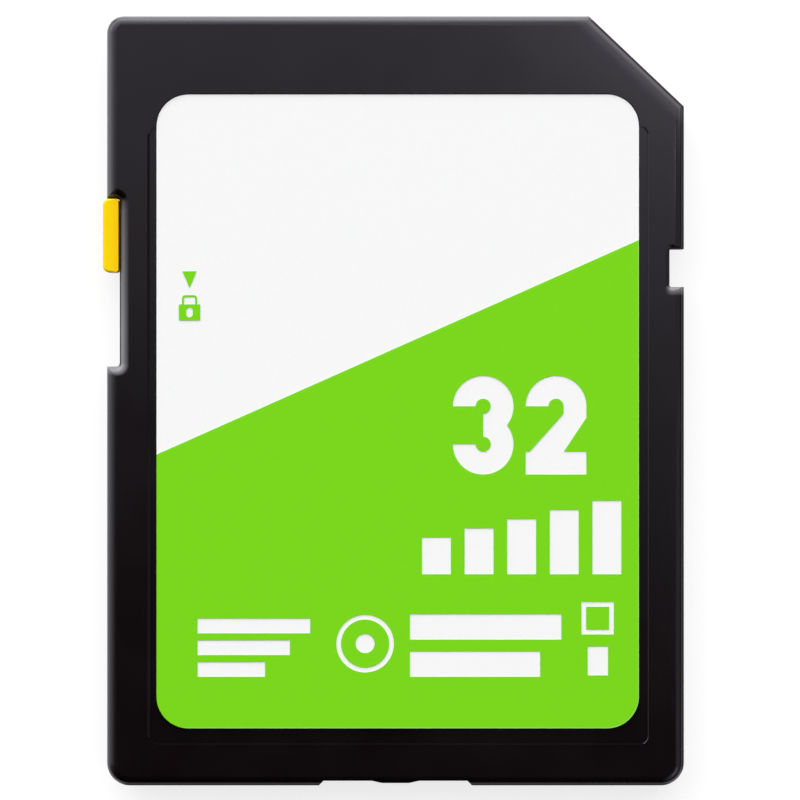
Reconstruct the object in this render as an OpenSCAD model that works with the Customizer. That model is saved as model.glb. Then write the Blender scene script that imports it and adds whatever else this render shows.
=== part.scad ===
// Memory card, 24 x 32 x 2.1 mm: two moulded covers, a printed label, a sliding
// write-protect tab, and a circuit board with its contacts, chips and passives.
// Origin at the centre of the back face. +Z points to the label, +Y to the
// contact end, and +X to the side with the cut corner. Millimetres.

/* [Card] */
// Width across the two side rails
card_width = 24; // [23.5:0.1:26]
// Length from the contact end to the foot
card_length = 32; // [31.5:0.1:36]
// Thickness from the back face to the label face
card_thickness = 2.1; // [2.05:0.05:2.6]
// Thickness of the side rails, which share the label face
rail_thickness = 1.4; // [1.35:0.05:1.5]
// Width of the step that forms each rail on the back
rail_width = 0.75; // [0.6:0.05:0.85]
// Height of the parting plane above the back face
seam_height = 1.2; // [1.1:0.05:1.3]
// Width of the outer wall of both covers
wall_width = 1; // [0.9:0.05:1.1]
// Thickness of the front cover's skin under the label
front_skin = 0.25; // [0.2:0.01:0.3]
// Width of the cut across the corner
corner_cut_width = 3.95; // [3.5:0.05:4.5]
// Length of the cut along the side
corner_cut_length = 3.75; // [3.5:0.05:4]

/* [Edges] */
// Corner radius at the foot
foot_radius = 0.95; // [0.4:0.05:1.5]
// Radius of the square corner at the contact end
head_radius = 0.7; // [0.4:0.05:1]
// Rounding of the label face's edge
front_edge = 0.4; // [0.2:0.01:0.45]
// Rounding of the back face's edge at the two ends
back_edge = 0.25; // [0.1:0.01:0.34]
// Bevel along the rails and the comb's leading edge
back_bevel = 0.15; // [0.05:0.01:0.2]
// Rounding of the front cover's edge at the parting line
seam_edge = 0.05; // [0.02:0.01:0.1]
// Corner radius inside the covers
pocket_radius = 0.5; // [0.3:0.05:0.7]

/* [Foot recess] */
// Width of the shallow recess in the foot
recess_width = 6.38; // [5:0.1:8]
// Depth of that recess
recess_depth = 0.22; // [0.1:0.01:0.3]
// Length of its two sloped ends along the foot
recess_slope = 0.2; // [0.1:0.01:0.4]
// Width of the moulding gate left in its middle
gate_width = 1.12; // [0.8:0.01:1.6]
// Height of the gate above the floor of the recess
gate_height = 0.1; // [0.05:0.01:0.2]
// Length of the slopes beside the gate
gate_slope = 0.42; // [0.2:0.01:0.6]

/* [Locking notch] */
// Distance of the notch from the contact end
notch_from_end = 9.68; // [9:0.01:11]
// Length of the notch
notch_length = 1.59; // [1.3:0.01:2]
// Depth of the notch
notch_depth = 0.61; // [0.4:0.01:0.65]
// Rounding of the notch's upper edge
notch_edge = 0.18; // [0.05:0.01:0.25]
// Radius of the notch's inner corners
notch_radius = 0.1; // [0.05:0.01:0.3]

/* [Write-protect tab] */
// Distance of its window from the contact end
window_from_end = 7.57; // [7.3:0.01:8]
// Length of the window
window_length = 7; // [6:0.05:7.5]
// Depth of the window
window_depth = 0.53; // [0.4:0.01:0.6]
// Length of the tab's finger
tab_length = 3.05; // [2.6:0.05:3.5]
// How far the finger stands out of the card's side
tab_proud = 0.15; // [0.05:0.01:0.25]
// Radius of the finger's outer corners
tab_radius = 0.25; // [0.15:0.01:0.3]
// Radius of the finger's inner corners
tab_inner_radius = 0.12; // [0.11:0.01:0.2]
// Rounding of the finger's upper and lower edges
tab_edge = 0.1; // [0.05:0.01:0.11]
// How far the finger lies below the label face, and above the rail's underside
tab_sink = 0.04; // [0.02:0.01:0.1]
// Width of the slope on the finger's upper face, beside the window's wall
tab_slope_width = 0.3; // [0.15:0.01:0.4]
// Fall of that slope
tab_slope_fall = 0.07; // [0.02:0.01:0.09]
// Length of the neck that joins the finger to the head
neck_length = 1.6; // [1:0.1:2]
// Thickness of the neck
neck_thickness = 0.4; // [0.3:0.01:0.5]
// Length of the head inside the covers
head_length = 2.4; // [2.1:0.1:2.8]
// Width of the head
head_width = 0.75; // [0.6:0.01:0.8]
// Width of the rib that guides the head
guide_width = 0.4; // [0.3:0.01:0.5]
// Gap round the sliding parts
slide_gap = 0.04; // [0.03:0.01:0.06]

/* [Label] */
// Margin from the card's left side to the label
label_left = 2.08; // [1.9:0.01:3]
// Margin from its right side
label_right = 1.89; // [1.8:0.01:3]
// Margin from the contact end
label_top = 3.28; // [2.5:0.01:4]
// Margin from the foot
label_foot = 2.4; // [2:0.01:4]
// Corner radius of the label
label_radius = 1.32; // [0.5:0.01:1.6]
// Thickness of the label film
film_thickness = 0.08; // [0.06:0.01:0.09]
// Thickness of the printed ink
ink_thickness = 0.02; // [0.02:0.01:0.03]
// Depth of the bed that the label lies in
bed_depth = 0.12; // [0.1:0.01:0.15]
// Gap between the label and its bed
bed_gap = 0.04; // [0.02:0.01:0.1]
// Margin from the card's left side to the wider part of the bed
bed_left = 1.8; // [1.6:0.01:2]
// Margin from its right side
bed_right = 1.52; // [1.5:0.01:1.8]
// Margin from the contact end
bed_top = 4.6; // [3.5:0.01:5]
// Margin from the foot
bed_foot = 1.74; // [1.5:0.01:2.3]
// Corner radius of that part of the bed
bed_radius = 0.35; // [0.2:0.01:0.8]
// Distance from the contact end to the coloured field at the left
field_left = 18.23; // [14:0.01:22]
// Distance from the contact end to the coloured field at the right
field_right = 9.32; // [6:0.01:14]

/* [Printed marks, placed from the label's lower left corner] */
// Place of the large number
number_at = [12.3, 10.54]; // [0:0.01:26]
// Height of its digits
digit_height = 4.1; // [3:0.1:5]
// Stroke of its digits
digit_stroke = 0.95; // [0.6:0.01:1.1]
// Gap between the two digits
digit_gap = 0.5; // [0.2:0.01:1]
// Place of the row of upright bars
bars_at = [11.02, 6.4]; // [0:0.01:26]
// Size of that row
bars_size = [8.28, 3.05]; // [1:0.01:9]
// Place of the short stripes
stripes_at = [1.7, 2.14]; // [0:0.01:26]
// Size of the block of short stripes
stripes_size = [4.68, 2.42]; // [1:0.01:6]
// Place of the two long stripes
lines_at = [10.52, 2.14]; // [0:0.01:26]
// Size of the block of long stripes
lines_size = [6.29, 2.6]; // [1:0.01:7]
// Centre of the ring
ring_at = [8.66, 3.52]; // [0:0.01:26]
// Outer radius of the ring
ring_radius = 1.2; // [0.8:0.01:1.5]
// Stroke of the ring and of the small frame
line_stroke = 0.2; // [0.1:0.01:0.3]
// Place of the small frame
frame_at = [17.64, 3.9]; // [0:0.01:26]
// Side of the small frame
frame_size = 1.35; // [0.8:0.01:1.6]
// Place of the small block
block_at = [17.9, 2.2]; // [0:0.01:26]
// Size of the small block
block_size = [0.85, 1.2]; // [0.4:0.01:1.5]
// Middle of the pictogram column
pictogram_x = 1.37; // [1:0.01:2]
// Height of the arrow's flat top edge
arrow_top = 18.98; // [18:0.01:20]
// Size of the arrow
arrow_size = [0.584, 0.694]; // [0.3:0.001:1.2]
// Height of the padlock's lower edge
padlock_foot = 16.94; // [16:0.01:18]
// Size of the padlock's body
padlock_size = [0.882, 0.665]; // [0.5:0.001:1.2]
// Size of its shackle
shackle_size = [0.63, 0.385]; // [0.3:0.001:0.8]
// Stroke of its shackle
shackle_stroke = 0.08; // [0.05:0.01:0.15]
// Inner radius of the shackle's two bends
shackle_bend = 0.06; // [0.02:0.01:0.1]
// Radius of its keyhole's two ends
keyhole_radius = 0.14; // [0.05:0.01:0.25]
// Distance between the middles of the keyhole's two ends
keyhole_run = 0.12; // [0.02:0.01:0.2]

/* [Contacts] */
// Distance from the cut side to the first contact's centre line
first_contact = 5.6; // [5.5:0.01:5.7]
// Distance from the other side to the eighth contact's centre line
last_contact = 1.8; // [1.7:0.01:1.9]
// Step from the sixth contact to the seventh
seventh_step = 2.4; // [2.3:0.01:2.5]
// Step from the seventh contact to the eighth
eighth_step = 1.7; // [1.6:0.01:1.8]
// Width of the ribs between the wide contacts' grooves
rib_width = 0.6; // [0.4:0.05:0.9]
// Width of the seventh and eighth contacts
narrow_contact_width = 1.1; // [0.8:0.05:1.2]
// Distance from the contact end to the contacts
contact_setback = 1.1; // [1.1:0.05:1.4]
// Length of the contacts
contact_length = 4.1; // [3:0.05:4.3]
// Distance from the contact end to the ninth contact
ninth_setback = 3.4; // [3.3:0.05:3.6]
// Length of the ninth contact
ninth_length = 2.9; // [2.4:0.05:3]
// Thickness of the contacts
contact_thickness = 0.04; // [0.03:0.01:0.06]
// Corner radius of the contacts
contact_radius = 0.12; // [0.05:0.01:0.3]
// Gap between a contact and the comb round it
contact_gap = 0.15; // [0.1:0.01:0.18]

/* [Board] */
// Thickness of the board
board_thickness = 0.35; // [0.3:0.01:0.4]
// Gap between the board and the covers' walls
board_gap = 0.08; // [0.05:0.01:0.09]
// Distance from the foot of the card to the board
board_foot = 2.6; // [2.5:0.05:3.5]
// Gap between the chips and the front cover
chip_gap = 0.04; // [0.03:0.01:0.06]
// Distance from the cut side to the middle of the chips
chips_from_side = 10.6; // [10:0.05:11.5]
// Width of the flash chip
flash_width = 12; // [8:0.1:14]
// Margin between the flash chip and the board's foot
flash_margin = 0.3; // [0.1:0.1:3]
// Side of the controller chip
controller_side = 6.2; // [4:0.1:6.5]
// Distance from the contact end to the controller chip
controller_from_end = 5.3; // [5.2:0.1:6]
// Gap between the two chips
chip_spacing = 0.6; // [0.3:0.1:2]
// Length, width and height of a capacitor
capacitor_size = [1, 0.5, 0.5]; // [0.3:0.1:1.6]
// Length, width and height of a resistor
resistor_size = [0.6, 0.3, 0.25]; // [0.2:0.05:1]
// Distance between passives in a row
passive_pitch = 1.2; // [1:0.1:1.6]
// Distance from the controller's side to the middle of the capacitors
passive_gap = 1.3; // [1:0.1:1.4]
// Gap between the capacitors and the resistors
column_gap = 1.05; // [0.5:0.05:1.5]

/* [Posts] */
// Diameter of the posts that join the covers
post_diameter = 0.9; // [0.7:0.05:1]
// Distance from the card's side to a post
post_from_side = 1.65; // [1.6:0.01:1.75]
// Space between the ninth contact's groove and the upper posts
post_space = 0.1; // [0.05:0.01:0.3]
// Distance from the foot to the lower posts
post_from_foot = 1.8; // [1.7:0.05:1.9]
// Depth of a post in its socket
post_depth = 0.35; // [0.2:0.01:0.4]
// Gap round a post
post_gap = 0.03; // [0.02:0.01:0.05]

/* [Hidden] */
$fn = 48;
flare_step = 15;
overrun = 0.2;
bar_count = 5;
stripe_shares = [1, 0.82, 0.6];
line_shares = [1, 0.86];
bar_share = 0.68;
capacitor_count = 6;
resistor_count = 4;
wide_count = 6;
end_cap_share = 0.22;
end_cap_growth = 1.08;
dot_share = 0.33;
two_start_share = 0.33;
two_foot_share = 0.8;
two_neck_share = 0.5;

plastic = [0.10, 0.09, 0.10];
film = [0.96, 0.96, 0.96];
ink = [0.49, 0.84, 0.12];
tab_yellow = [0.98, 0.82, 0.03];
mask = [0.05, 0.20, 0.12];
gold = [0.83, 0.65, 0.25];
moulding = [0.12, 0.12, 0.13];
ceramic = [0.62, 0.50, 0.36];
resistor_black = [0.16, 0.15, 0.15];

side = card_width / 2;
end = card_length / 2;
cut_run = norm([corner_cut_width, corner_cut_length]);
contact_plane = card_thickness - rail_thickness;
board_floor = contact_plane + contact_thickness;
board_top = board_floor + board_thickness;
bed_floor = card_thickness - bed_depth;
ceiling = bed_floor - front_skin;
chip_height = ceiling - chip_gap - board_top;

window_top = end - window_from_end;
window_wall = side - window_depth;
pocket_side = side - wall_width;
tab_travel = window_length - tab_length - 2 * slide_gap;
tab_middle = window_top - slide_gap - tab_length / 2;
window_radius = tab_inner_radius + slide_gap;
head_outer = pocket_side - slide_gap;
head_inner = head_outer - head_width;
guide_outer = head_inner - slide_gap;
guide_inner = guide_outer - guide_width;
guide_top = tab_middle + head_length / 2 + slide_gap;
guide_foot = tab_middle - tab_travel - head_length / 2 - slide_gap;

label_corner = [label_left - side, label_foot - end];
label_size = [card_width - label_left - label_right, card_length - label_top - label_foot];

wide_span = card_width - first_contact - last_contact - seventh_step - eighth_step;
contact_pitch = wide_span / (wide_count - 1);
contact_width = contact_pitch - rib_width - 2 * contact_gap;
contact_x = [
    for (i = [0 : wide_count - 1]) side - first_contact - i * contact_pitch,
    last_contact + eighth_step - side,
    last_contact - side,
    side - first_contact + contact_pitch
];
contact_count = len(contact_x);
post_x = side - post_from_side;
post_top = end - ninth_setback - ninth_length - contact_gap - post_space - post_gap - post_diameter / 2;
posts = [for (x = [-post_x, post_x], y = [post_top, post_from_foot - end]) [x, y]];

chips_middle = side - chips_from_side;
controller_foot = end - controller_from_end - controller_side;
controller_at = [chips_middle, controller_foot + controller_side / 2];
flash_foot = board_foot - end + flash_margin;
flash_size = [flash_width, controller_foot - chip_spacing - flash_foot];
flash_at = [chips_middle, flash_foot + flash_size.y / 2];

// Sizes of contact i, counted from 1

function is_ninth(i) = i == contact_count;
function is_narrow(i) = i > wide_count && !is_ninth(i);
function width_of(i) = is_narrow(i) ? narrow_contact_width : contact_width;
function length_of(i) = is_ninth(i) ? ninth_length : contact_length;
function outer_end(i) = end - (is_ninth(i) ? ninth_setback : contact_setback);
function inner_end(i) = outer_end(i) - length_of(i);

// Outlines: lists of [corner, radius], anticlockwise from the lower left

function box_path(corner, size, r) = [
    [corner, r],
    [corner + [size.x, 0], r],
    [corner + size, r],
    [corner + [0, size.y], r]
];

// The card's outline moved inwards by inset, parallel to every edge
function inner_path(inset, r) =
    let (x = side - inset, y = end - inset)
    [
        [[-x, -y], r],
        [[x, -y], r],
        [[x, end - corner_cut_length - inset * (cut_run - corner_cut_length) / corner_cut_width], r],
        [[side - corner_cut_width - inset * (cut_run - corner_cut_width) / corner_cut_length, y], r],
        [[-x, y], r]
    ];

function toward(a, b) = (b - a) / norm(b - a);
function left_of(u) = [-u.y, u.x];

// Corner i of an outline: start and end of its arc, the arc's centre and radius,
// and the directions of the edges before and after it
function corner_arc(path, i) =
    let (n = len(path), here = path[i][0], r = path[i][1],
         before = toward(path[(i + n - 1) % n][0], here),
         after = toward(here, path[(i + 1) % n][0]),
         run = r * tan(acos(before * after) / 2))
    [here - before * run, here + after * run, here + left_of(before) * r - before * run, r, before, after];

module rounded(path) {
    arcs = [for (i = [0 : len(path) - 1]) corner_arc(path, i)];
    polygon([for (a = arcs) each [a[0], a[1]]]);
    for (a = arcs) translate(a[2]) circle(a[3]);
}

// Section through an edge, with its upper and lower corners rounded
module edge_section(width, height, top, bottom) {
    difference() {
        square([width, height]);
        if (top > 0) translate([width - top, height - top]) difference() {
            square(top + overrun);
            circle(top);
        }
        if (bottom > 0) translate([width - bottom, bottom]) difference() {
            translate([0, -bottom - overrun]) square(bottom + overrun);
            circle(bottom);
        }
    }
}

// Flat moulding whose rim is rounded above by top and below by bottom: a core,
// a turned piece at each corner and a straight one along each side, which laps
// over the core
module slab(path, height, top, bottom) {
    rim = max(top, bottom);
    lap = rim;
    n = len(path);
    arcs = [for (i = [0 : n - 1]) corner_arc(path, i)];
    linear_extrude(height)
        polygon([for (a = arcs) each [a[0] + left_of(a[4]) * rim, a[1] + left_of(a[5]) * rim]]);
    for (i = [0 : n - 1]) {
        a = arcs[i];
        run = norm(arcs[(i + 1) % n][0] - a[1]);
        out_before = -left_of(a[4]);
        out_after = -left_of(a[5]);
        translate(a[2]) rotate(atan2(out_before.y, out_before.x))
            rotate_extrude(angle = acos(a[4] * a[5])) edge_section(a[3], height, top, bottom);
        translate(a[1] - out_after * (rim + lap)) rotate(atan2(out_after.y, out_after.x))
            translate([0, run, 0]) rotate([90, 0, 0])
                linear_extrude(run) edge_section(rim + lap, height, top, bottom);
    }
}

// Air from x = back to a wall at x = wall that rounds the wall's upper edge in
// narrow strips
module flare(height, edge, wall = 0, back = -overrun) {
    if (edge > 0) polygon([
        [back, height - edge],
        for (a = [180 : -flare_step : 90]) [wall + edge * (1 + cos(a)), height - edge * (1 - sin(a))],
        [wall + edge, height + overrun],
        [back, height + overrun]
    ]);
}

// Air of a notch in the side x = 0, from y = 0 to length, with inner corners of
// radius r; its upper edge is rounded all the way round where edge isn't 0
module notch(depth, length, height, edge, r) {
    reach = r + overrun;
    translate([0, 0, -overrun]) linear_extrude(height + 2 * overrun)
        rounded(box_path([-reach, 0], [depth + reach, length], r));
    translate([depth, length - r, 0]) rotate([90, 0, 0])
        linear_extrude(length - 2 * r) flare(height, edge);
    for (far = [0, 1]) translate([0, far * length, 0]) mirror([0, 1 - far, 0]) {
        translate([-overrun, 0, 0]) rotate([90, 0, 90])
            linear_extrude(depth - r + overrun) flare(height, edge);
        translate([depth - r, -r, 0]) rotate_extrude(angle = 90) flare(height, edge, r, 0);
    }
}

// Air beyond the corner cut, with the cut's upper and lower edges rounded
module corner_cut(height, top, bottom) {
    reach = cut_run + 4 * overrun;
    translate([side - corner_cut_width, end, 0]) rotate(atan2(-corner_cut_width, -corner_cut_length)) {
        translate([-corner_cut_width, -2 * overrun, -overrun])
            cube([corner_cut_width, reach, height + 2 * overrun]);
        translate([0, reach - 2 * overrun, 0]) rotate([90, 0, 0]) linear_extrude(reach) {
            flare(height, top);
            translate([0, height]) mirror([0, 1]) flare(height, bottom);
        }
    }
}

// Outer form of a cover: its rim is rounded above by top and below by bottom
module cover_form(height, top, bottom) {
    difference() {
        slab([
            [[-side, -end], foot_radius],
            [[side, -end], foot_radius],
            [[side, end], head_radius],
            [[-side, end], head_radius]
        ], height, top, bottom);
        corner_cut(height, top, bottom);
    }
}

// Cut-outs that both covers share, from z = 0 up to height

module foot_recess(height) {
    rows = [
        [recess_width / 2, 0],
        [recess_width / 2 - recess_slope, recess_depth],
        [gate_width / 2 + gate_slope, recess_depth],
        [gate_width / 2, recess_depth - gate_height]
    ];
    left = [for (p = rows) [-p.x, p.y - end]];
    right = [for (i = [len(rows) - 1 : -1 : 0]) [rows[i].x, rows[i].y - end]];
    translate([0, 0, -overrun]) linear_extrude(height + 2 * overrun)
        polygon([[-recess_width / 2, -end - overrun], each left, each right, [recess_width / 2, -end - overrun]]);
}

module side_notches(height, window_rim, notch_rim) {
    translate([-side, window_top - window_length, 0])
        notch(window_depth, window_length, height, window_rim, window_radius);
    translate([side, end - notch_from_end, 0]) rotate(180)
        notch(notch_depth, notch_length, height, notch_rim, notch_radius);
}

// Slot in the wall of the window that the tab's neck slides in
module neck_slot() {
    length = neck_length + tab_travel + 2 * slide_gap;
    translate([-window_wall - overrun, tab_middle + neck_length / 2 + slide_gap - length,
               seam_height - neck_thickness / 2 - slide_gap])
        cube([window_wall - pocket_side + 2 * overrun, length, neck_thickness + 2 * slide_gap]);
}

// Room inside the covers in plan, with the rib that guides the tab's head
module pocket() {
    difference() {
        rounded(inner_path(wall_width, pocket_radius));
        translate([-guide_outer, guide_foot]) square([guide_width, guide_top - guide_foot]);
    }
}

// Front cover: skin, wall, label bed and four posts

// Bed in plan: snug round the label's top, and wider than the label below that
module label_bed() {
    rounded(box_path(label_corner - [bed_gap, bed_gap], label_size + 2 * [bed_gap, bed_gap], label_radius + bed_gap));
    rounded(box_path(
        [bed_left - side, bed_foot - end],
        [card_width - bed_left - bed_right, card_length - bed_top - bed_foot],
        bed_radius));
}

module front_cover() {
    height = card_thickness - seam_height;
    color(plastic) {
        difference() {
            translate([0, 0, seam_height]) cover_form(height, front_edge, seam_edge);
            translate([0, 0, seam_height]) {
                side_notches(height, front_edge, notch_edge);
                foot_recess(height);
            }
            translate([0, 0, seam_height - overrun]) linear_extrude(ceiling - seam_height + overrun) pocket();
            translate([0, 0, bed_floor]) linear_extrude(bed_depth + overrun) label_bed();
            neck_slot();
        }
        post_height = ceiling - board_floor + post_depth;
        for (p = posts) translate([p.x, p.y, ceiling - post_height])
            cylinder(h = post_height + front_skin / 2, d = post_diameter);
    }
}

// Back cover: floor, wall, side rails and the comb between the contacts

module rail_step() {
    step = side - rail_width;
    translate([0, end + overrun, 0]) rotate([90, 0, 0]) linear_extrude(card_length + 2 * overrun)
        polygon([
            [step - back_bevel, -overrun],
            [step - back_bevel, 0],
            [step, back_bevel],
            [step, contact_plane],
            [side - back_bevel, contact_plane],
            [side, contact_plane + back_bevel],
            [side + overrun, contact_plane + back_bevel],
            [side + overrun, -overrun]
        ]);
}

// Groove to one contact, open to the contact end, and the window above it
module contact_groove(i) {
    width = width_of(i) + 2 * contact_gap;
    foot = inner_end(i) - contact_gap;
    window_end = is_ninth(i) ? outer_end(i) + contact_gap : end - wall_width;
    bevel = is_ninth(i) ? 0 : back_bevel;
    translate([contact_x[i - 1] - width / 2, 0, 0]) {
        rotate([90, 0, 90]) linear_extrude(width)
            polygon([
                [foot, -overrun],
                [foot, contact_plane],
                [end - bevel, contact_plane],
                [end + overrun, contact_plane + (bevel > 0 ? bevel + overrun : 0)],
                [end + overrun, -overrun]
            ]);
        translate([0, foot, 0]) cube([width, window_end - foot, board_floor + overrun]);
    }
}

module back_cover() {
    color(plastic) difference() {
        cover_form(seam_height, 0, back_edge);
        rail_step();
        mirror([1, 0, 0]) rail_step();
        side_notches(seam_height, 0, 0);
        foot_recess(seam_height);
        translate([0, 0, board_floor]) linear_extrude(seam_height - board_floor + overrun) pocket();
        for (i = [1 : contact_count]) contact_groove(i);
        for (p = posts) translate([p.x, p.y, board_floor - post_depth - post_gap])
            cylinder(h = post_depth + post_gap + overrun, d = post_diameter + 2 * post_gap);
        neck_slot();
    }
}

// Write-protect tab: finger in the window, neck through the slot, head inside

module write_protect_tab() {
    inner = window_wall + slide_gap;
    foot = tab_middle - tab_length / 2;
    top = card_thickness - tab_sink;
    color(tab_yellow) {
        difference() {
            translate([0, 0, contact_plane + tab_sink])
                slab([
                    [[-side - tab_proud, foot], tab_radius],
                    [[-inner, foot], tab_inner_radius],
                    [[-inner, foot + tab_length], tab_inner_radius],
                    [[-side - tab_proud, foot + tab_length], tab_radius]
                ], rail_thickness - 2 * tab_sink, tab_edge, tab_edge);
            translate([-inner, foot + tab_length + overrun, top]) rotate([90, 0, 0])
                linear_extrude(tab_length + 2 * overrun)
                    polygon([
                        [-tab_slope_width, 0],
                        [overrun, -tab_slope_fall * (tab_slope_width + overrun) / tab_slope_width],
                        [overrun, overrun],
                        [-tab_slope_width, overrun]
                    ]);
        }
        translate([-inner - tab_edge, tab_middle - neck_length / 2, seam_height - neck_thickness / 2])
            cube([inner + tab_edge - head_outer + head_width / 2, neck_length, neck_thickness]);
        translate([-head_outer, tab_middle - head_length / 2, board_floor + slide_gap])
            cube([head_width, head_length, ceiling - board_floor - 2 * slide_gap]);
    }
}

// Label: white film, and a layer of ink with the marks left open in it

module label_outline() rounded(box_path(label_corner, label_size, label_radius));

module label_film() {
    color(film) translate([0, 0, bed_floor]) linear_extrude(film_thickness) label_outline();
}

module field() {
    intersection() {
        label_outline();
        polygon([
            label_corner,
            label_corner + [label_size.x, 0],
            [label_corner.x + label_size.x, end - field_right],
            [label_corner.x, end - field_left]
        ]);
    }
}

// Digits made of rings: both bowls of a digit have the same radius
function bowl_radius() = (digit_height + digit_stroke) / 4;

module bowl(middle) {
    translate([bowl_radius(), middle]) difference() {
        circle(bowl_radius());
        circle(bowl_radius() - digit_stroke);
    }
}

module digit_three() {
    r = bowl_radius();
    difference() {
        union() {
            bowl(digit_height - r);
            bowl(r);
        }
        translate([0, r]) square([r, digit_height - 2 * r]);
    }
}

module digit_two() {
    r = bowl_radius();
    middle = digit_height - r;
    difference() {
        bowl(middle);
        translate([0, middle - r]) square([2 * r, r]);
    }
    polygon([
        [2 * r, middle],
        [2 * r - digit_stroke, middle],
        [2 * r - digit_stroke, middle - digit_stroke * two_start_share],
        [0, digit_stroke * two_foot_share],
        [0, 0],
        [digit_stroke, 0],
        [2 * r, middle - digit_stroke * two_neck_share]
    ]);
    square([2 * r, digit_stroke]);
}

// Bars of rising height
module upright_bars() {
    pitch = bars_size.x / (bar_count - 1 + bar_share);
    for (i = [0 : bar_count - 1]) translate([i * pitch, 0])
        square([pitch * bar_share, bars_size.y * (i + bar_count - 1) / (2 * bar_count - 2)]);
}

// Stripes of the given shares of the full length, the first one on top
module stripes(size, shares) {
    pitch = size.y / (len(shares) - 1 + bar_share);
    for (i = [0 : len(shares) - 1]) translate([0, (len(shares) - 1 - i) * pitch])
        square([size.x * shares[i], pitch * bar_share]);
}

module open_marks() {
    translate(number_at) {
        digit_three();
        translate([2 * bowl_radius() + digit_gap, 0]) digit_two();
    }
    translate(bars_at) upright_bars();
    translate(stripes_at) stripes(stripes_size, stripe_shares);
    translate(lines_at) stripes(lines_size, line_shares);
    translate(ring_at) {
        difference() {
            circle(ring_radius);
            circle(ring_radius - line_stroke);
        }
        circle(ring_radius * dot_share);
    }
    translate(frame_at) difference() {
        square(frame_size);
        translate([line_stroke, line_stroke]) square(frame_size - 2 * line_stroke);
    }
    translate(block_at) square(block_size);
}

module arrow() {
    translate([pictogram_x, arrow_top])
        polygon([[-arrow_size.x / 2, 0], [0, -arrow_size.y], [arrow_size.x / 2, 0]]);
}

// Slot with round ends, upright
module keyhole() {
    square([2 * keyhole_radius, keyhole_run], center = true);
    for (s = [-1, 1]) translate([0, s * keyhole_run / 2]) circle(keyhole_radius);
}

// Bow with two bends, standing on y = 0
module shackle() {
    bend = shackle_bend + shackle_stroke;
    inner = shackle_size - [2, 1] * shackle_stroke;
    difference() {
        rounded(box_path([-shackle_size.x / 2, -2 * bend], shackle_size + [0, 2 * bend], bend));
        rounded(box_path([-inner.x / 2, -2 * bend], inner + [0, 2 * bend], shackle_bend));
        translate([-shackle_size.x, -3 * bend]) square([2 * shackle_size.x, 3 * bend]);
    }
}

module padlock() {
    translate([pictogram_x, padlock_foot]) {
        difference() {
            translate([-padlock_size.x / 2, 0]) square(padlock_size);
            translate([0, padlock_size.y / 2]) keyhole();
        }
        translate([0, padlock_size.y]) shackle();
    }
}

module label_print() {
    color(ink) translate([0, 0, bed_floor + film_thickness]) linear_extrude(ink_thickness) {
        difference() {
            field();
            translate(label_corner) open_marks();
        }
        translate(label_corner) {
            arrow();
            padlock();
        }
    }
}

// Circuit board with its contacts below and its parts on top

module circuit_board() {
    inset = wall_width + board_gap;
    bay_right = -guide_inner + board_gap;
    bay_foot = guide_foot - board_gap;
    bay_top = inner_end(1) - contact_gap;
    color(mask) translate([0, 0, board_floor]) linear_extrude(board_thickness) difference() {
        rounded(inner_path(inset, pocket_radius));
        translate([-side, -end]) square([card_width, board_foot]);
        translate([-side, bay_foot]) square([side + bay_right, bay_top - bay_foot]);
        for (p = posts) if (p.x > 0 && p.y > 0) translate(p) {
            circle(post_diameter / 2 + board_gap);
            translate([0, -post_diameter / 2 - board_gap])
                square([side - p.x, post_diameter + 2 * board_gap]);
        }
    }
}

module contact(i) {
    size = [width_of(i), length_of(i)];
    color(gold) translate([0, 0, contact_plane]) linear_extrude(contact_thickness)
        rounded(box_path([contact_x[i - 1] - size.x / 2, inner_end(i)], size, contact_radius));
}

module chip(middle, size) {
    color(moulding) translate([middle.x - size.x / 2, middle.y - size.y / 2, board_top])
        cube([size.x, size.y, chip_height]);
}

module flash_chip() chip(flash_at, flash_size);

module controller_chip() chip(controller_at, [controller_side, controller_side]);

// Two-terminal part: a body between two slightly larger end caps
module passive(middle, size, shade) {
    cap = [size.x * end_cap_share, size.y * end_cap_growth, size.z * end_cap_growth];
    color(shade) translate([middle.x, middle.y, board_top]) {
        translate([-size.x / 2, -size.y / 2, 0]) cube(size);
        for (s = [0, 1]) mirror([s, 0, 0])
            translate([size.x / 2 - cap.x, -cap.y / 2, 0]) cube(cap);
    }
}

module capacitor(i) {
    left = i <= capacitor_count / 2;
    row = left ? i : i - capacitor_count / 2;
    x = controller_at.x + (left ? -1 : 1) * (controller_side / 2 + passive_gap);
    passive([x, controller_at.y + (row - (capacitor_count / 2 + 1) / 2) * passive_pitch], capacitor_size, ceramic);
}

module resistor(i) {
    x = controller_at.x - controller_side / 2 - passive_gap - capacitor_size.x / 2 - column_gap - resistor_size.x / 2;
    passive([x, controller_at.y + (i - (resistor_count + 1) / 2) * passive_pitch], resistor_size, resistor_black);
}

front_cover();
back_cover();
label_film();
label_print();
write_protect_tab();
circuit_board();
flash_chip();
controller_chip();
for (i = [1 : contact_count]) contact(i);
for (i = [1 : capacitor_count]) capacitor(i);
for (i = [1 : resistor_count]) resistor(i);
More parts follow.
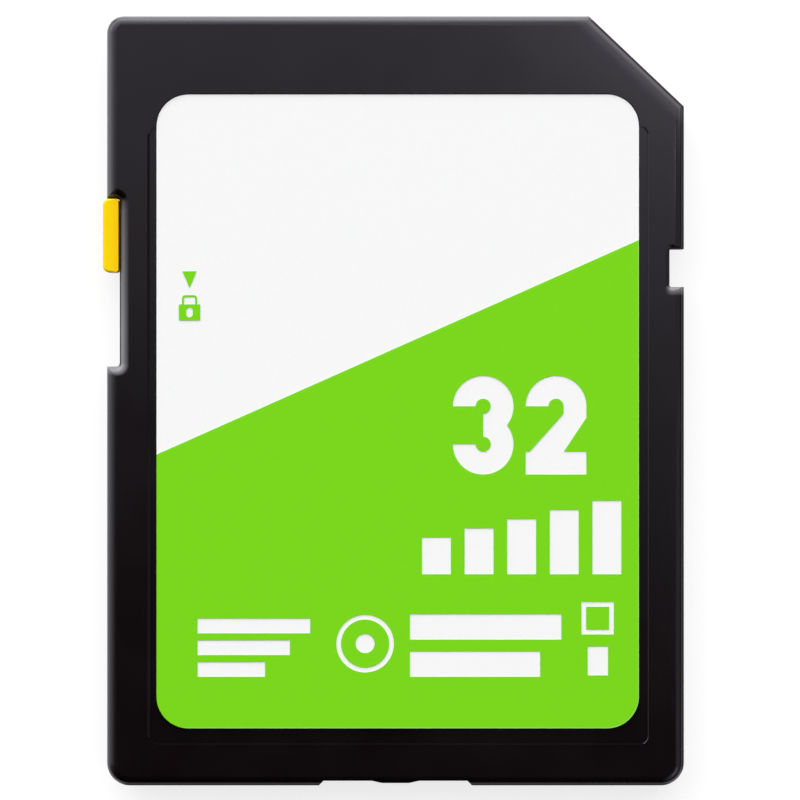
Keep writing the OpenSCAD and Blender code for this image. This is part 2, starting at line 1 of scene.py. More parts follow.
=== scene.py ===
import bmesh
import bpy
import math
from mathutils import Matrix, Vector


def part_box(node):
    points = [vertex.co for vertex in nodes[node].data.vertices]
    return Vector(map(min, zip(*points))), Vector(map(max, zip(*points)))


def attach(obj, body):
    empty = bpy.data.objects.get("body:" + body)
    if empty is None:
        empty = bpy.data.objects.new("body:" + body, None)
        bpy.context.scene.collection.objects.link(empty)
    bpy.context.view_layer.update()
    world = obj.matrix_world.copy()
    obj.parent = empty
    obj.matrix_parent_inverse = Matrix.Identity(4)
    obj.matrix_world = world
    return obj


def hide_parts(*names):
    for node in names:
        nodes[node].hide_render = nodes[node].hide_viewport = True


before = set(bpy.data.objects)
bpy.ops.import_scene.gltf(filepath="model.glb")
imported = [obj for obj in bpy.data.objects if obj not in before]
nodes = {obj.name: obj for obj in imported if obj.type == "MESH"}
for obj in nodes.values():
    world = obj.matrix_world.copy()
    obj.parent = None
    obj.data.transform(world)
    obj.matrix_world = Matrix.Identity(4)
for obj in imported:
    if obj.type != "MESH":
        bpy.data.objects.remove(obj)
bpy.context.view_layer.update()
millimetre = 0.001
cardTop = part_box("front_cover")[1]
print("frame loaded:", len(nodes), "nodes")


def startMaterial(name, roughness, metallic=0.0):
    # a Principled material, and the Object coordinates that its patterns follow
    material = bpy.data.materials.new(name)
    material.use_nodes = True
    tree = material.node_tree
    shader = tree.nodes["Principled BSDF"]
    shader.inputs["Roughness"].default_value = roughness
    shader.inputs["Metallic"].default_value = metallic
    place = tree.nodes.new("ShaderNodeTexCoord").outputs["Object"]
    return material, tree, shader, place


def addNoise(tree, place, size, detail=2.0, stretch=(1, 1, 1), roughness=0.5):
    # noise about size millimetres wide, drawn out along an axis by stretch
    mapping = tree.nodes.new("ShaderNodeMapping")
    mapping.inputs["Scale"].default_value = [1 / s for s in stretch]
    tree.links.new(place, mapping.inputs["Vector"])
    noise = tree.nodes.new("ShaderNodeTexNoise")
    noise.inputs["Scale"].default_value = 1 / (size * millimetre)
    noise.inputs["Detail"].default_value = detail
    noise.inputs["Roughness"].default_value = roughness
    tree.links.new(mapping.outputs["Vector"], noise.inputs["Vector"])
    return noise.outputs["Fac"]


def addRange(tree, value, low, high, outLow=0.0, outHigh=1.0):
    step = tree.nodes.new("ShaderNodeMapRange")
    for key, number in zip(("From Min", "From Max", "To Min", "To Max"), (low, high, outLow, outHigh)):
        step.inputs[key].default_value = number
    tree.links.new(value, step.inputs["Value"])
    return step.outputs["Result"]


def addMath(tree, operation, first, second=0.0):
    step = tree.nodes.new("ShaderNodeMath")
    step.operation = operation
    for socket, value in zip(step.inputs, (first, second)):
        if isinstance(value, bpy.types.NodeSocket):
            tree.links.new(value, socket)
        else:
            socket.default_value = value
    return step.outputs[0]


def addVector(tree, operation, first, second):
    step = tree.nodes.new("ShaderNodeVectorMath")
    step.operation = operation
    tree.links.new(first, step.inputs[0])
    step.inputs[1].default_value = second
    return step.outputs[1 if operation in ("LENGTH", "DOT_PRODUCT") else 0]


def addDistance(tree, place, low, high, radius):
    # metres outside a rounded rectangle, seen from above; negative inside it, down to -radius
    middle = [(a + b) / 2 * millimetre for a, b in zip(low, high)]
    reach = [((b - a) / 2 - radius) * millimetre for a, b in zip(low, high)]
    out = addVector(tree, "SUBTRACT", place, (*middle, 0))
    out = addVector(tree, "ABSOLUTE", out, (0, 0, 0))
    out = addVector(tree, "SUBTRACT", out, (*reach, 1))
    out = addVector(tree, "MAXIMUM", out, (0, 0, 0))
    return addMath(tree, "SUBTRACT", addVector(tree, "LENGTH", out, (0, 0, 0)), radius * millimetre)


def addMix(tree, factor, first, second):
    # a colour between two, each a colour or a socket
    mix = tree.nodes.new("ShaderNodeMix")
    mix.data_type = "RGBA"
    tree.links.new(factor, mix.inputs[0])
    for socket, value in ((mix.inputs[6], first), (mix.inputs[7], second)):
        if isinstance(value, bpy.types.NodeSocket):
            tree.links.new(value, socket)
        else:
            socket.default_value = (*value, 1)
    return mix.outputs[2]


def addBump(tree, shader, height, depth, strength=1.0):
    # surface relief about depth millimetres deep, over what relief the shader has
    bump = tree.nodes.new("ShaderNodeBump")
    bump.inputs["Strength"].default_value = strength
    bump.inputs["Distance"].default_value = depth * millimetre
    tree.links.new(height, bump.inputs["Height"])
    normal = shader.inputs["Normal"]
    if normal.links:
        tree.links.new(normal.links[0].from_socket, bump.inputs["Normal"])
    tree.links.new(bump.outputs["Normal"], normal)


def dress(pieces, material):
    for piece in pieces:
        piece.data.materials.clear()
        piece.data.materials.append(material)


def flatGroups(mesh, flatAngle):
    # area of the flat patch that each face is part of
    faceAt = {}
    parent = list(range(len(mesh.polygons)))

    def root(i):
        while parent[i] != i:
            parent[i] = parent[parent[i]]
            i = parent[i]
        return i

    for face in mesh.polygons:
        for key in face.edge_keys:
            other = faceAt.setdefault(key, face.index)
            if other != face.index and face.normal.angle(mesh.polygons[other].normal, 0) < flatAngle:
                parent[root(face.index)] = root(other)
    area = {}
    for face in mesh.polygons:
        area[root(face.index)] = area.get(root(face.index), 0) + face.area
    return [area[root(i)] for i in range(len(parent))]


def shadeEvenly(mesh, sharpAngle):
    # smooth shading in which a wide flat face keeps its own direction up to its edge
    mesh.shade_smooth()
    area = flatGroups(mesh, math.radians(0.5))
    facesAt = [[] for _ in mesh.vertices]
    for face in mesh.polygons:
        for corner in face.vertices:
            facesAt[corner].append(face)
    limit = math.cos(math.radians(sharpAngle))
    normals = []
    for face in mesh.polygons:
        for corner in face.vertices:
            near = {}
            for other in facesAt[corner]:
                if other.normal.dot(face.normal) > limit:
                    near[tuple(round(c, 3) for c in other.normal)] = (other.normal, area[other.index])
            total = Vector((0, 0, 0))
            for normal, weight in near.values():
                total += normal * weight
            normals.append((total if total.length else face.normal).normalized())
    mesh.normals_split_custom_set(normals)


def refineMoulding(name, body, values, rims=()):
    # a copy of a CAD node with joined faces, worn rims and smooth shading
    source = nodes[name].data
    bm = bmesh.new()
    corners = [bm.verts.new(v.co) for v in source.vertices]
    for face in source.polygons:
        bm.faces.new([corners[i] for i in face.vertices])
    bmesh.ops.remove_doubles(bm, verts=bm.verts, dist=values["join"] * millimetre)
    if rims:
        bmesh.ops.dissolve_limit(bm, angle_limit=math.radians(0.2), verts=bm.verts, edges=bm.edges)
    for isRim, (width, steps, depth) in rims:
        chosen = [e for e in bm.edges if e.is_manifold and isRim(e)]
        made = bmesh.ops.bevel(bm, geom=chosen, offset=width * millimetre, segments=steps, profile=0.5,
                               affect="EDGES", clamp_overlap=False)
        for vert in made["verts"]:
            vert.co.z += (cardTop.z - vert.co.z) * (1 - depth)
        print(name, "rim:", len(chosen), "edges")
    bmesh.ops.triangulate(bm, faces=bm.faces)
    mesh = bpy.data.meshes.new(name + "_moulding")
    bm.to_mesh(mesh)
    bm.free()
    shadeEvenly(mesh, values["sharpAngle"])
    piece = bpy.data.objects.new(name + "_moulding", mesh)
    bpy.context.scene.collection.objects.link(piece)
    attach(piece, body)
    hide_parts(name)
    return piece


housing = {
    "join": 0.0002,         # mm
    "sharpAngle": 28.0,     # degrees
    "leftRim": (0.11, 1, 0.85),    # the bed's rim: mm, steps, and depth as a share of the width
    "rightRim": (0.03, 1, 0.62),
    "colour": (0.0030, 0.0013, 0.0013),
    "wearAndHighlight": (0.012, 0.011, 0.012),
    "roughness": (0.17, 0.21),
    "gloss": 0.55,
    "glossTint": (0.87, 0.83, 1.0),
    "grainSize": 0.10,      # mm
    "grainDepth": 0.0012,   # mm
    "patchSize": 2.5,       # mm
    "scuffSize": 0.045,     # mm
    "scuffFrom": (11.35, 11.95),   # mm from the middle, where the card slides in its slot
    "window": ((-13.0, 1.43), (-11.47, 8.43)),   # mm, the tab's window
    "notch": ((11.39, 4.73), (13.0, 6.32)),      # mm, the locking notch
    # painted highlight on the upper rims: its colour, and where it lies
    "paintedHighlight": (0.21, 0.21, 0.215),
    "windowRub": (0.11, 0.41),     # mm from the window: full painted highlight, and none
    "windowLip": (-11.425, -11.385),   # mm, up to where the window's long edge stays black
    "notchRub": (0.09, 0.36),
    "highlightGrows": (8.0, 3.0),        # mm along the window, from a faint painted highlight to full
    "highlightHeight": (1.50, 1.75),     # mm up the side, where the painted highlight begins
    "endRub": (15.90, 15.95),      # mm, painted highlight along the contact end's edge, from none to full
    "endSoft": (15.74, 15.90),     # mm, a fainter painted highlight inside it
    "endSoftShare": 0.5,
    "leftRub": (-11.50, -12.0),    # mm, painted highlight along the left edge
    "leftHighlightShare": (0.19, 0.62),  # from the middle to the foot, and at the contact end
    "leftHighlightFrom": (0.0, 9.0),     # mm
    "cutRub": (16.45, 17.0),       # mm along the cut's normal, a painted sheen spreading in from the corner cut
    "cutHighlightShare": 0.21,
    "cutHighlightEnd": (17.03, 17.01),   # mm
    "sideRoughness": 0.90,         # coarse grain on the sides at the right and foot
    "sideFrom": (11.84, 11.92),    # mm
    "sideBelow": (1.70, 1.64),     # mm, every side is coarse below the rounded edge
    "sideAbove": (0.01, 0.03),     # mm, down to the smoother back face
    "footFrom": (-15.86, -15.93),  # mm
    "cutNormal": (0.6885, 0.7252, 0.0),
    "cutFrom": (16.99, 17.07),     # mm along that normal
    "notchWall": (0.07, 0.04),     # mm from the notch
    "windowWall": (0.08, 0.05),    # mm from the window
}


def scaled(values):
    return [value * millimetre for value in values]


def paintedHighlightEdges(tree, place, split):
    # painted highlights on the upper rims: window, notch, left edge, corner cut and contact end
    masks = []
    for key, top in (("window", (8.45, 7.9)), ("notch", (4.8, 4.7))):
        distance = addDistance(tree, place, *housing[key], 0.05)
        # painted highlight fading out from the window's and the notch's rims
        wearAndHighlight = addRange(tree, distance, *scaled(housing[key + "Rub"]), 1.0, 0.0)
        masks.append(addMath(tree, "MULTIPLY", wearAndHighlight, addRange(tree, split.outputs["Y"], *scaled(top))))
    grown = addRange(tree, split.outputs["Y"], *scaled(housing["highlightGrows"]), 0.4, 1.0)
    clear = addMath(tree, "MAXIMUM", addRange(tree, split.outputs["X"], *scaled(housing["windowLip"])),
                    addRange(tree, split.outputs["Y"], *scaled((1.5, 1.4))))
    grown = addMath(tree, "MULTIPLY", grown, clear)
    inNotch = addRange(tree, split.outputs["X"], *scaled((11.20, 11.45)))
    paintedHighlight = addMath(tree, "MAXIMUM", addMath(tree, "MULTIPLY", masks[0], grown),
                     addMath(tree, "MULTIPLY", masks[1], inNotch))
    left = addMath(tree, "POWER", addRange(tree, split.outputs["X"], *scaled(housing["leftRub"])), 2.0)
    left = addMath(tree, "MULTIPLY", left, addRange(tree, split.outputs["Y"], *scaled(housing["leftHighlightFrom"]),
                                                    *housing["leftHighlightShare"]))
    left = addMath(tree, "MULTIPLY", left, addMath(tree, "SUBTRACT", 1.0, masks[0]))
    along = addVector(tree, "DOT_PRODUCT", place, housing["cutNormal"])
    cut = addMath(tree, "MULTIPLY", addRange(tree, along, *scaled(housing["cutRub"]), 0.0, housing["cutHighlightShare"]),
                  addRange(tree, along, *scaled(housing["cutHighlightEnd"])))
    end = addRange(tree, split.outputs["Y"], *scaled(housing["endRub"]))
    soft = addRange(tree, split.outputs["Y"], *scaled(housing["endSoft"]), 0.0, housing["endSoftShare"])
    for mask in (left, cut, end, soft):
        paintedHighlight = addMath(tree, "MAXIMUM", paintedHighlight, mask)
    return addMath(tree, "MULTIPLY", paintedHighlight, addRange(tree, split.outputs["Z"], *scaled(housing["highlightHeight"])))


def coarseSides(tree, place, split):
    # every side below the rounded edge, and the edge itself at the right, the foot, the cut, the window and the notch
    coarse = addRange(tree, split.outputs["X"], *scaled(housing["sideFrom"]))
    along = addVector(tree, "DOT_PRODUCT", place, housing["cutNormal"])
    notch = addDistance(tree, place, *housing["notch"], 0.05)
    wall = addMath(tree, "MULTIPLY", addRange(tree, notch, *scaled(housing["notchWall"])),
                   addRange(tree, split.outputs["Y"], *scaled((4.8, 4.9))))
    window = addDistance(tree, place, *housing["window"], 0.05)
    lip = addMath(tree, "MULTIPLY", addRange(tree, window, *scaled(housing["windowWall"])),
                  addRange(tree, split.outputs["Y"], *scaled((1.45, 1.55))))
    sides = addMath(tree, "MULTIPLY", addRange(tree, split.outputs["Z"], *scaled(housing["sideBelow"])),
                    addRange(tree, split.outputs["Z"], *scaled(housing["sideAbove"])))
    sides = addMath(tree, "MULTIPLY", sides, addRange(tree, window, *scaled((0.03, 0.06))))
    for mask in (addRange(tree, split.outputs["Y"], *scaled(housing["footFrom"])),
                 addRange(tree, along, *scaled(housing["cutFrom"])), wall, lip, sides):
        coarse = addMath(tree, "MAXIMUM", coarse, mask)
    return coarse


def housingPlastic():
    # near-black moulding with a fine spark-eroded grain, rail slide marks, and painted rim highlights
    material, tree, shader, place = startMaterial("housingPlastic", 0.3)
    shader.inputs["Specular IOR Level"].default_value = housing["gloss"]
    shader.inputs["Specular Tint"].default_value = (*housing["glossTint"], 1)
    patches = addNoise(tree, place, housing["patchSize"], detail=3)
    split = tree.nodes.new("ShaderNodeSeparateXYZ")
    tree.links.new(place, split.inputs[0])
    near, far = [d * millimetre for d in housing["scuffFrom"]]
    onRail = addRange(tree, addMath(tree, "ABSOLUTE", split.outputs["X"]), near, far)
    scuffs = addNoise(tree, place, housing["scuffSize"], detail=1, stretch=(1, 45, 1))
    marks = addMath(tree, "MULTIPLY", addRange(tree, scuffs, 0.60, 0.74), onRail)
    colour = addMix(tree, marks, housing["colour"], housing["wearAndHighlight"])
    # painted highlights on the upper rims, mixed over the moulding's colour
    tree.links.new(addMix(tree, paintedHighlightEdges(tree, place, split), colour, housing["paintedHighlight"]),
                   shader.inputs["Base Color"])
    low, high = housing["roughness"]
    sheen = addMath(tree, "ADD", addRange(tree, patches, 0.3, 0.7, low, high), addMath(tree, "MULTIPLY", marks, 0.12))
    coarse = coarseSides(tree, place, split)
    sheen = addMath(tree, "MAXIMUM", sheen, addMath(tree, "MULTIPLY", coarse, housing["sideRoughness"]))
    tree.links.new(sheen, shader.inputs["Roughness"])
    addBump(tree, shader, addNoise(tree, place, housing["grainSize"], detail=3, roughness=0.6), housing["grainDepth"])
    return material


def onRim(edge):
    # upright walls that meet the label face: the rim of the label's bed
    top = cardTop.z - 0.01 * millimetre
    level = all(v.co.z > top for v in edge.verts)
    inside = all(abs(v.co.x) < 10.9 * millimetre and abs(v.co.y) < 15 * millimetre for v in edge.verts)
    return level and inside and edge.calc_face_angle(0) > math.radians(60)


def onLeftRim(edge):
    return onRim(edge) and all(v.co.x < -10.19 * millimetre for v in edge.verts)


def onRightRim(edge):
    return onRim(edge) and all(v.co.x > 10.25 * millimetre for v in edge.verts)


frontCover = refineMoulding("front_cover", "card", housing,
                            [(onLeftRim, housing["leftRim"]), (onRightRim, housing["rightRim"])])
backCover = refineMoulding("back_cover", "card", housing)
dress([frontCover, backCover], housingPlastic())
print("covers refined:", len(frontCover.data.polygons), "and", len(backCover.data.polygons), "faces")

label = {
    "white": (0.915, 0.915, 0.915),
    "whiteShade": (0.885, 0.885, 0.89),
    "green": (0.194, 0.668, 0.0120),
    "greenShade": (0.182, 0.640, 0.0105),
    "outline": ((-10.2, -13.6), (10.11, 13.0)),    # mm, with no thin ink at the left and top
    "cornerRadius": 1.32,   # mm
    "thinEdge": (-0.055, -0.02),    # mm from the outline, where the ink thins out
    "thinShare": 0.13,
    "roughness": (0.42, 0.50),
    "gloss": 0.02,
    "fibreSize": 0.09,      # mm
    "fibreDepth": 0.0012,   # mm
    "waveSize": 4.0,        # mm
    "waveDepth": 0.008,     # mm
}


def labelSurface(name, light, dark, edge=None):
    # coated film: fine fibres under the coating, and slow waves
    material, tree, shader, place = startMaterial(name, 0.4)
    shader.inputs["Specular IOR Level"].default_value = label["gloss"]
    fibres = addNoise(tree, place, label["fibreSize"], detail=3, stretch=(1, 2.5, 1))
    waves = addNoise(tree, place, label["waveSize"], detail=2)
    colour = addMix(tree, addRange(tree, fibres, 0.3, 0.7, 0, 0.5), light, dark)
    if edge:
        outside = addDistance(tree, place, *label["outline"], label["cornerRadius"])
        thin = addRange(tree, outside, *scaled(label["thinEdge"]), 0.0, label["thinShare"])
        colour = addMix(tree, thin, colour, edge)
    tree.links.new(colour, shader.inputs["Base Color"])
    low, high = label["roughness"]
    tree.links.new(addRange(tree, fibres, 0.3, 0.7, low, high), shader.inputs["Roughness"])
    addBump(tree, shader, waves, label["waveDepth"], 0.5)
    addBump(tree, shader, fibres, label["fibreDepth"])
    return material


dress([nodes["label_film"]], labelSurface("labelFilm", label["white"], label["whiteShade"]))
dress([nodes["label_print"]], labelSurface("labelInk", label["green"], label["greenShade"], label["white"]))

tab = {
    "join": 0.0002,         # mm
    "sharpAngle": 28.0,     # degrees
    "colour": (0.980, 0.690, 0.001),
    # painted shade: the tab's slope toward the wall is painted a deeper orange
    "paintedSlopeShade": (1.0, 0.60, 0.001),
    "paintedSlopeShadeFrom": (-11.82, -11.62),   # mm
    "shade": (0.900, 0.590, 0.001),
    "roughness": 0.33,
    "gloss": 0.08,
    "cloudSize": 0.8,       # mm
    "grainSize": 0.07,      # mm
    "grainDepth": 0.001,    # mm
}


def tabPlastic():
    material, tree, shader, place = startMaterial("tabPlastic", tab["roughness"])
    shader.inputs["Specular IOR Level"].default_value = tab["gloss"]
    clouds = addRange(tree, addNoise(tree, place, tab["cloudSize"]), 0.3, 0.7, 0, 0.5)
    split = tree.nodes.new("ShaderNodeSeparateXYZ")
    tree.links.new(place, split.inputs[0])
    # painted shade: a deeper orange over the slope toward the wall
    slope = addRange(tree, split.outputs["X"], *scaled(tab["paintedSlopeShadeFrom"]))
    tree.links.new(addMix(tree, slope, addMix(tree, clouds, tab["colour"], tab["shade"]), tab["paintedSlopeShade"]),
                   shader.inputs["Base Color"])
    addBump(tree, shader, addNoise(tree, place, tab["grainSize"]), tab["grainDepth"])
    return material


lockTab = refineMoulding("write_protect_tab", "lock_tab", tab)
dress([lockTab], tabPlastic())

contacts = {
    "gold": (0.83, 0.57, 0.20),
    "wearAndHighlight": (0.66, 0.50, 0.28),
    "roughness": (0.20, 0.38),
    "brushSize": 0.035,     # mm
    "trackSize": 0.16,      # mm, the paths that the socket's springs wipe
}


def goldPlating():
    material, tree, shader, place = startMaterial("goldPlating", 0.3, metallic=1.0)
    strokes = addNoise(tree, place, contacts["brushSize"], detail=2, stretch=(1, 30, 1))
    tracks = addNoise(tree, place, contacts["trackSize"], detail=1, stretch=(1, 60, 1))
    tree.links.new(addMix(tree, addRange(tree, tracks, 0.58, 0.72, 0, 0.8), contacts["gold"], contacts["wearAndHighlight"]),
                   shader.inputs["Base Color"])
    low, high = contacts["roughness"]
    tree.links.new(addRange(tree, strokes, 0.3, 0.7, low, high), shader.inputs["Roughness"])
    addBump(tree, shader, strokes, 0.002, 0.5)
    return material


def numbered(stem):
    return [nodes[name] for name in nodes if name.startswith(stem + "_")]


dress(numbered("contact"), goldPlating())

board = {
    "mask": (0.006, 0.035, 0.020),
    "trace": (0.012, 0.070, 0.038),
    "tracePitch": 0.5,      # mm
    "traceHeight": 0.02,    # mm
}


def solderMask():
    # copper traces that show through the green mask
    material, tree, shader, place = startMaterial("solderMask", 0.28)
    wave = tree.nodes.new("ShaderNodeTexWave")
    wave.inputs["Scale"].default_value = 1 / (math.tau * board["tracePitch"] * millimetre)
    wave.inputs["Distortion"].default_value = 1.5
    wave.inputs["Detail"].default_value = 0
    tree.links.new(place, wave.inputs["Vector"])
    traces = addRange(tree, wave.outputs["Fac"], 0.55, 0.65)
    tree.links.new(addMix(tree, traces, board["mask"], board["trace"]), shader.inputs["Base Color"])
    addBump(tree, shader, traces, board["traceHeight"], 0.5)
    return material


def speckled(name, colour, fleck, roughness, size, depth):
    # moulding compound, ceramic and glaze: a dull body with fine flecks
    material, tree, shader, place = startMaterial(name, roughness)
    grain = addNoise(tree, place, size, detail=3)
    tree.links.new(addMix(tree, addRange(tree, grain, 0.45, 0.7), colour, fleck), shader.inputs["Base Color"])
    addBump(tree, shader, grain, depth)
    return material


dress([nodes["circuit_board"]], solderMask())
dress([nodes["flash_chip"], nodes["controller_chip"]],
      speckled("chipMoulding", (0.012, 0.012, 0.013), (0.03, 0.03, 0.032), 0.6, 0.05, 0.004))
dress(numbered("capacitor"), speckled("capacitorCeramic", (0.30, 0.19, 0.10), (0.36, 0.24, 0.14), 0.5, 0.06, 0.003))
dress(numbered("resistor"), speckled("resistorGlaze", (0.014, 0.013, 0.013), (0.03, 0.03, 0.03), 0.25, 0.05, 0.001))
print("materials made")

solder = {
    "reach": 0.16,          # mm that a fillet runs out from its part
    "climb": 0.6,           # share of the part's height
    "width": 0.9,           # share of the part's width
    "capLength": 0.22,      # share of the part's length
    "capOver": 1.06,        # width and height of a metal end, against the part's
    "steps": 6,
    "colour": (0.62, 0.62, 0.60),
    "roughness": 0.32,
}


def partEnds(name):
    # both ends of a small part: the place at the board, the turn to face outward, and the sizes
    low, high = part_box(name)
    size = high - low
    along = 0 if size.x > size.y else 1
    above = low.z + high.z > sum(corner.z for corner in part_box("circuit_board"))
    ends = []
    for side in (0, 1):
        place = (low + high) / 2
        place.z = low.z if above else high.z
        place[along] = (low, high)[side][along]
        turn = (0 if above else math.pi, 0, (1 - side) * math.pi + along * math.pi / 2)
        fillet = (solder["reach"] * millimetre, size[1 - along] * solder["width"], size.z * solder["climb"])
        cap = (size[along] * solder["capLength"], size[1 - along] * solder["capOver"], size.z * solder["capOver"])
        ends.append((place, turn, fillet, cap))
    return ends


def solderTree(material):
    # a concave fillet and a metal end on every point, by its own turn and sizes
    tree = bpy.data.node_groups.new("solderJoint", "GeometryNodeTree")
    tree.interface.new_socket("Geometry", in_out="INPUT", socket_type="NodeSocketGeometry")
    steps = tree.interface.new_socket("Steps", in_out="INPUT", socket_type="NodeSocketInt")
    lip = tree.interface.new_socket("Lip", in_out="INPUT", socket_type="NodeSocketFloat")
    tree.interface.new_socket("Geometry", in_out="OUTPUT", socket_type="NodeSocketGeometry")
    link = tree.links.new
    given = tree.nodes.new("NodeGroupInput")
    result = tree.nodes.new("NodeGroupOutput")
    split = tree.nodes.new("ShaderNodeSeparateXYZ")
    link(tree.nodes.new("GeometryNodeInputPosition").outputs[0], split.inputs[0])
    out = addMath(tree, "ADD", split.outputs["X"], 0.5)
    up = addMath(tree, "ADD", split.outputs["Z"], 0.5)
    curve = addMath(tree, "MAXIMUM", addMath(tree, "POWER", addMath(tree, "SUBTRACT", 1.0, out), 2.0),
                    given.outputs["Lip"])
    shapes = []
    for height, reach, size in ((addMath(tree, "MULTIPLY", up, curve), out, "filletSize"),
                                (up, addMath(tree, "SUBTRACT", out, 0.97), "capSize")):
        cube = tree.nodes.new("GeometryNodeMeshCube")
        link(given.outputs["Steps"], cube.inputs["Vertices X"])
        place = tree.nodes.new("ShaderNodeCombineXYZ")
        for key, value in (("X", reach), ("Y", split.outputs["Y"]), ("Z", height)):
            link(value, place.inputs[key])
        shape = tree.nodes.new("GeometryNodeSetPosition")
        link(cube.outputs["Mesh"], shape.inputs["Geometry"])
        link(place.outputs[0], shape.inputs["Position"])
        spread = tree.nodes.new("GeometryNodeInstanceOnPoints")
        link(given.outputs["Geometry"], spread.inputs["Points"])
        link(shape.outputs[0], spread.inputs["Instance"])
        for key, socket in (("turn", "Rotation"), (size, "Scale")):
            named = tree.nodes.new("GeometryNodeInputNamedAttribute")
            named.data_type = "FLOAT_VECTOR"
            named.inputs["Name"].default_value = key
            link(named.outputs["Attribute"], spread.inputs[socket])
        shapes.append(spread.outputs[0])
    both = tree.nodes.new("GeometryNodeJoinGeometry")
    for shape in reversed(shapes):
        link(shape, both.inputs[0])
    realized = tree.nodes.new("GeometryNodeRealizeInstances")
    link(both.outputs[0], realized.inputs[0])
    painted = tree.nodes.new("GeometryNodeSetMaterial")
    painted.inputs["Material"].default_value = material
    link(realized.outputs[0], painted.inputs["Geometry"])
    link(painted.outputs[0], result.inputs[0])
    return tree, {steps.identifier: solder["steps"], lip.identifier: 0.04}


def solderJoints(names):
    material, tree, shader, place = startMaterial("solder", solder["roughness"], metallic=1.0)
    shader.inputs["Base Color"].default_value = (*solder["colour"], 1)
    addBump(tree, shader, addNoise(tree, place, 0.12), 0.004)
    ends = [end for name in names for end in partEnds(name)]
    mesh = bpy.data.meshes.new("solderJoints")
    mesh.from_pydata([end[0] for end in ends], [], [])
    for index, key in enumerate(("turn", "filletSize", "capSize"), 1):
        values = mesh.attributes.new(key, "FLOAT_VECTOR", "POINT")
        for point, end in zip(values.data, ends):
            point.vector = end[index]
    piece = bpy.data.objects.new("solderJoints", mesh)
    bpy.context.scene.collection.objects.link(piece)
    modifier = piece.modifiers.new("joints", "NODES")
    modifier.node_group, inputs = solderTree(material)
    for key, value in inputs.items():
        modifier[key] = value
    made = piece.evaluated_get(bpy.context.evaluated_depsgraph_get())
    joints = bpy.data.meshes.new_from_object(made)
    piece.modifiers.clear()
    piece.data = joints
    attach(piece, "card")
    print("solder joints:", len(ends), "ends,", len(joints.polygons), "faces")


solderJoints([name for name in nodes if name.startswith(("capacitor_", "resistor_"))])

studio = {
    "floorSize": 3.0,       # m
    "floorGap": 0.02,       # mm, so that the floor and the card's back face aren't one plane
    "floorColour": 0.32,
    "floorGlow": 0.76,
    "horizon": 4.5,         # brightness of the room low down at the bright side
    "overhead": 3.35,       # the same higher up
    "overheadFrom": 0.7,    # height, as a share of straight up, from which that holds
    "toward": (-0.34, 1.0),           # the bright side: beyond the contact end, and less to the left
    "brightFrom": 0.06,
    "highRight": 0.45,      # brightness high up at the right, where the room is dark low down
    "highFrom": (0.08, 0.50),
    "rightFrom": (0.10, 0.42),
    "view": (24.04, 395.45, 400.8),   # pixels per mm, and the card's middle, in a picture 800 wide
    "outline": 1.75,        # mm, height of the card's widest edge
    "lens": 200.0,
    "sensor": 36.0,
}

lamps = {
    "softbox": {"place": (-20, 86, 148), "target": (-20, 17, 0), "size": (140, 174), "power": 0.0344},
    "cornerLamp": {"place": (35, 43, 190), "target": (35, 43, 0), "size": (32, 28), "power": 0.0085},
    "rightStrip": {"place": (30, 2, 190), "target": (30, 2, 0), "size": (28, 34), "power": 0.0009},
    "lowStrip": {"place": (4, 0, 190), "target": (4, 0, 0), "size": (80, 12), "power": 0.0003},
    "fillLamp": {"place": (420, -330, 520), "target": (0, 0, 0), "size": (300, 300), "power": 0.3},
}


def makeFloor():
    half = studio["floorSize"] / 2
    z = -studio["floorGap"] * millimetre
    mesh = bpy.data.meshes.new("studioFloor")
    mesh.from_pydata([(-half, -half, z), (half, -half, z), (half, half, z), (-half, half, z)], [], [(0, 1, 2, 3)])
    floor = bpy.data.objects.new("studioFloor", mesh)
    bpy.context.scene.collection.objects.link(floor)
    material = bpy.data.materials.new("studioFloor")
    material.use_nodes = True
    tree = material.node_tree
    tree.nodes.clear()
    diffuse = tree.nodes.new("ShaderNodeBsdfDiffuse")
    diffuse.inputs["Color"].default_value = (*[studio["floorColour"]] * 3, 1)
    glow = tree.nodes.new("ShaderNodeEmission")
    path = tree.nodes.new("ShaderNodeLightPath")
    seen = path.outputs["Is Camera Ray"]
    for other in ("Is Glossy Ray", "Is Transmission Ray"):
        seen = addMath(tree, "MAXIMUM", seen, path.outputs[other])
    tree.links.new(addMath(tree, "MULTIPLY", seen, studio["floorGlow"]), glow.inputs["Strength"])
    both = tree.nodes.new("ShaderNodeAddShader")
    tree.links.new(diffuse.outputs[0], both.inputs[0])
    tree.links.new(glow.outputs[0], both.inputs[1])
    out = tree.nodes.new("ShaderNodeOutputMaterial")
    tree.links.new(both.outputs[0], out.inputs["Surface"])
    mesh.materials.append(material)


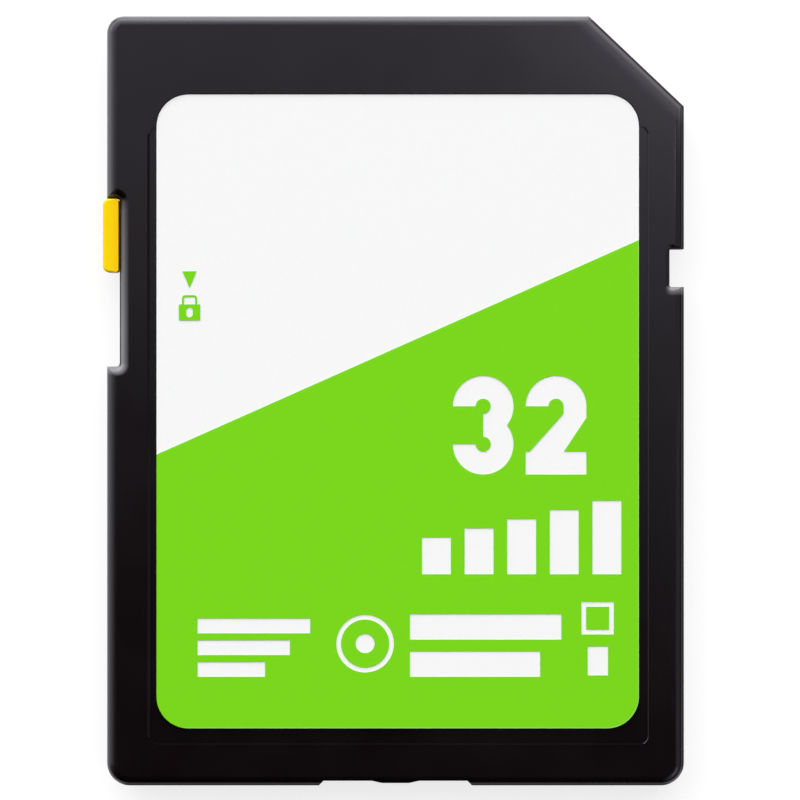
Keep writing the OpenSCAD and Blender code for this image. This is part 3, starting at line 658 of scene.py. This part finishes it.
def makeWorld():
    # a room that is bright low down at the left and beyond the contact end
    world = bpy.data.worlds.new("studioRoom")
    bpy.context.scene.world = world
    world.use_nodes = True
    tree = world.node_tree
    background = tree.nodes["Background"]
    split = tree.nodes.new("ShaderNodeSeparateXYZ")
    tree.links.new(tree.nodes.new("ShaderNodeTexCoord").outputs["Generated"], split.inputs[0])
    height = addRange(tree, split.outputs["Z"], 0.0, studio["overheadFrom"], studio["horizon"], studio["overhead"])
    across, along = studio["toward"]
    side = addMath(tree, "ADD", addMath(tree, "MULTIPLY", split.outputs["X"], across),
                   addMath(tree, "MULTIPLY", split.outputs["Y"], along))
    bright = addMath(tree, "MULTIPLY", height, addRange(tree, side, studio["brightFrom"], 1.0))
    high = addRange(tree, split.outputs["Z"], *studio["highFrom"], 0.0, studio["highRight"])
    high = addMath(tree, "MULTIPLY", high, addRange(tree, split.outputs["X"], *studio["rightFrom"]))
    tree.links.new(addMath(tree, "ADD", bright, high), background.inputs["Strength"])
    background.inputs["Color"].default_value = (1, 1, 1, 1)


def addLamp(name, values):
    data = bpy.data.lights.new(name, "AREA")
    data.shape = "RECTANGLE"
    data.size, data.size_y = [s * millimetre for s in values["size"]]
    data.energy = values["power"]
    lamp = bpy.data.objects.new(name, data)
    place, target = Vector(values["place"]), Vector(values["target"])
    lamp.location = place * millimetre
    lamp.rotation_euler = (target - place).to_track_quat("-Z", "Y").to_euler()
    bpy.context.scene.collection.objects.link(lamp)


def makeCamera():
    scale, middleX, middleY = studio["view"]
    half = 400          # pixels
    data = bpy.data.cameras.new("camera")
    data.lens = studio["lens"]
    data.sensor_width = studio["sensor"]
    data.clip_start, data.clip_end = 0.005, 20
    camera = bpy.data.objects.new("camera", data)
    distance = 2 * half / scale * studio["lens"] / studio["sensor"]
    camera.location = Vector(((half - middleX) / scale, (middleY - half) / scale,
                              studio["outline"] + distance)) * millimetre
    bpy.context.scene.collection.objects.link(camera)
    bpy.context.scene.camera = camera


makeFloor()
makeWorld()
for name, values in lamps.items():
    addLamp(name, values)
makeCamera()
bpy.context.scene.view_settings.view_transform = "Standard"
print("studio set")
